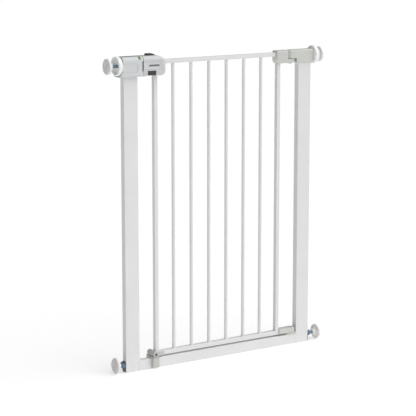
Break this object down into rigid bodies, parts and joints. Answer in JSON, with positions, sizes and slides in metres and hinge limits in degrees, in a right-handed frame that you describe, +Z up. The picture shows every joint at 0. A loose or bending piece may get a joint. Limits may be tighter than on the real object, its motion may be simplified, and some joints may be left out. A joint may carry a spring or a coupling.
{
  "type": "pressure-fit safety gate",
  "caption": "White steel safety gate for a doorway: frame wedged by threaded feet, barred leaf on a pin hinge, squeeze-and-slide latch handle.",
  "frame": {"origin": "on the floor at the middle of the overall box, feet at their narrowest setting", "axes": "+Z up, +X along the closed gate from the lock towards the hinge, -Y towards the viewer's side, where the lever grooves are"},
  "size_m": [0.73, 0.0546, 0.9152],
  "materials": {
    "frame_coat": "smooth white powder coat",
    "leaf_coat": "smooth white powder coat",
    "housing_plastic": "fine satin texture, light grey",
    "housing_back_plastic": "fine satin texture, mid grey",
    "handle_plastic": "fine satin texture, light grey",
    "handle_back_plastic": "fine satin texture, mid grey",
    "hinge_plastic": "satin, light grey",
    "catch_plastic": "satin, warm light grey",
    "bush_plastic": "satin dark grey nylon",
    "wheel_plastic": "smooth white",
    "pad_plastic": "smooth off-white",
    "pad_rubber": "matt warm grey",
    "zinc_rod": "bluish zinc plate, threaded",
    "zinc_nut": "bluish zinc plate",
    "screw_steel": "zinc plate",
    "pin_steel": "ground steel",
    "latch_steel": "cast zinc, satin",
    "spring_steel": "bright wire",
    "button_black": "fine texture, black",
    "sign_green": "bright green",
    "sign_red": "bright red"
  },
  "bodies": {
    "frame": {"left_post": "frame_coat", "right_post": "frame_coat", "base_bar": "frame_coat", "lock_housing_front": "housing_plastic", "lock_housing_rear": "housing_back_plastic", "lock_housing_screws": "screw_steel", "hinge_post_bracket": "hinge_plastic", "lower_hinge_foot": "hinge_plastic", "lower_hinge_pin": "pin_steel", "base_catch": "catch_plastic", "post_end_plugs": "bush_plastic", "upper_left_guide_bush": "bush_plastic", "upper_right_guide_bush": "bush_plastic", "lower_left_guide_bush": "bush_plastic", "lower_right_guide_bush": "bush_plastic"},
    "tension_indicator": {"indicator_green": "sign_green", "indicator_red": "sign_red", "indicator_hub": "bush_plastic"},
    "leaf": {"leaf_left_stile": "leaf_coat", "leaf_right_stile": "leaf_coat", "leaf_top_rail": "leaf_coat", "leaf_bottom_rail": "leaf_coat", "leaf_bar_1": "leaf_coat", "leaf_bar_2": "leaf_coat", "leaf_bar_3": "leaf_coat", "leaf_bar_4": "leaf_coat", "leaf_bar_5": "leaf_coat", "leaf_bar_6": "leaf_coat", "hinge_gate_bracket": "hinge_plastic", "upper_hinge_pin": "pin_steel", "lower_hinge_arm": "hinge_plastic", "catch_barrel": "catch_plastic", "catch_screw": "screw_steel", "handle_front_shell": "handle_plastic", "handle_rear_shell": "handle_back_plastic", "handle_screws": "screw_steel", "crank_pin": "pin_steel", "trigger_spring": "spring_steel"},
    "latch_bolt": {"latch_bolt": "latch_steel"},
    "release_trigger": {"release_trigger": "button_black"},
    "bell_crank": {"bell_crank": "latch_steel"},
    "safety_slider": {"safety_slider": "button_black"},
    "upper_left_spindle": {"upper_left_spindle": "zinc_rod"},
    "upper_left_foot": {"upper_left_pad": "pad_plastic", "upper_left_pad_face": "pad_rubber"},
    "upper_left_wheel": {"upper_left_wheel": "wheel_plastic"},
    "upper_right_spindle": {"upper_right_spindle": "zinc_rod"},
    "upper_right_foot": {"upper_right_pad": "pad_plastic", "upper_right_pad_face": "pad_rubber"},
    "upper_right_wheel": {"upper_right_wheel": "wheel_plastic"},
    "lower_left_spindle": {"lower_left_spindle": "zinc_rod"},
    "lower_left_foot": {"lower_left_pad": "pad_plastic", "lower_left_pad_face": "pad_rubber"},
    "lower_left_nut": {"lower_left_nut": "zinc_nut"},
    "lower_right_spindle": {"lower_right_spindle": "zinc_rod"},
    "lower_right_foot": {"lower_right_pad": "pad_plastic", "lower_right_pad_face": "pad_rubber"},
    "lower_right_nut": {"lower_right_nut": "zinc_nut"}
  },
  "joints": [
    {"name": "gate_swing", "type": "hinge", "parent": "frame", "child": "leaf", "pos_m": [0.2565, 0, 0], "axis": [0, 0, 1], "range_deg": [-90, 90]},
    {"name": "trigger_squeeze", "type": "slide", "parent": "leaf", "child": "release_trigger", "axis": [0, 0, 1], "range_m": [-0.005, 0], "stiffness_N_per_m": 300, "springref_m": -0.009, "deforming": ["trigger_spring"]},
    {"name": "bolt_throw", "type": "slide", "parent": "leaf", "child": "latch_bolt", "axis": [-1, 0, 0], "range_m": [0, 0.0101]},
    {"name": "crank_turn", "type": "hinge", "parent": "leaf", "child": "bell_crank", "pos_m": [-0.226, 0.0035, 0.868], "axis": [0, 1, 0], "range_deg": [-39.6, 0]},
    {"name": "slider_push", "type": "slide", "parent": "leaf", "child": "safety_slider", "axis": [1, 0, 0], "range_m": [0, 0.006], "stiffness_N_per_m": 300, "springref_m": -0.004},
    {"name": "indicator_turn", "type": "hinge", "parent": "frame", "child": "tension_indicator", "pos_m": [-0.27025, -0.011, 0.897], "axis": [1, 0, 0], "range_deg": [0, 68]},
    {"name": "upper_left_wheel_turn", "type": "hinge", "parent": "frame", "child": "upper_left_wheel", "pos_m": [-0.315, 0, 0.884], "axis": [1, 0, 0], "range_deg": [0, 4201]},
    {"name": "upper_left_spindle_slide", "type": "slide", "parent": "frame", "child": "upper_left_spindle", "axis": [-1, 0, 0], "range_m": [0, 0.035]},
    {"name": "upper_left_foot_turn", "type": "hinge", "parent": "upper_left_spindle", "child": "upper_left_foot", "pos_m": [-0.345, 0, 0.884], "axis": [1, 0, 0], "continuous": true},
    {"name": "upper_right_wheel_turn", "type": "hinge", "parent": "frame", "child": "upper_right_wheel", "pos_m": [0.325, 0, 0.884], "axis": [-1, 0, 0], "range_deg": [0, 4201]},
    {"name": "upper_right_spindle_slide", "type": "slide", "parent": "frame", "child": "upper_right_spindle", "axis": [1, 0, 0], "range_m": [0, 0.035]},
    {"name": "upper_right_foot_turn", "type": "hinge", "parent": "upper_right_spindle", "child": "upper_right_foot", "pos_m": [0.355, 0, 0.884], "axis": [1, 0, 0], "continuous": true},
    {"name": "lower_left_nut_turn", "type": "hinge", "parent": "frame", "child": "lower_left_nut", "pos_m": [-0.315, 0, 0.0233], "axis": [1, 0, 0], "range_deg": [0, 6361]},
    {"name": "lower_left_spindle_slide", "type": "slide", "parent": "frame", "child": "lower_left_spindle", "axis": [-1, 0, 0], "range_m": [0, 0.053]},
    {"name": "lower_left_foot_turn", "type": "hinge", "parent": "lower_left_spindle", "child": "lower_left_foot", "pos_m": [-0.345, 0, 0.0233], "axis": [1, 0, 0], "continuous": true},
    {"name": "lower_right_nut_turn", "type": "hinge", "parent": "frame", "child": "lower_right_nut", "pos_m": [0.325, 0, 0.0233], "axis": [-1, 0, 0], "range_deg": [0, 4201]},
    {"name": "lower_right_spindle_slide", "type": "slide", "parent": "frame", "child": "lower_right_spindle", "axis": [1, 0, 0], "range_m": [0, 0.035]},
    {"name": "lower_right_foot_turn", "type": "hinge", "parent": "lower_right_spindle", "child": "lower_right_foot", "pos_m": [0.355, 0, 0.0233], "axis": [1, 0, 0], "continuous": true}
  ],
  "couplings": [
    {"joint": "bolt_throw", "follows": "trigger_squeeze", "ratio": -2},
    {"joint": "crank_turn", "follows": "trigger_squeeze", "rad_per_m": 137.2},
    {"joint": "upper_left_wheel_turn", "follows": "upper_left_spindle_slide", "rad_per_m": 2094.4},
    {"joint": "upper_right_wheel_turn", "follows": "upper_right_spindle_slide", "rad_per_m": 2094.4},
    {"joint": "lower_left_nut_turn", "follows": "lower_left_spindle_slide", "rad_per_m": 2094.4},
    {"joint": "lower_right_nut_turn", "follows": "lower_right_spindle_slide", "rad_per_m": 2094.4}
  ]
}
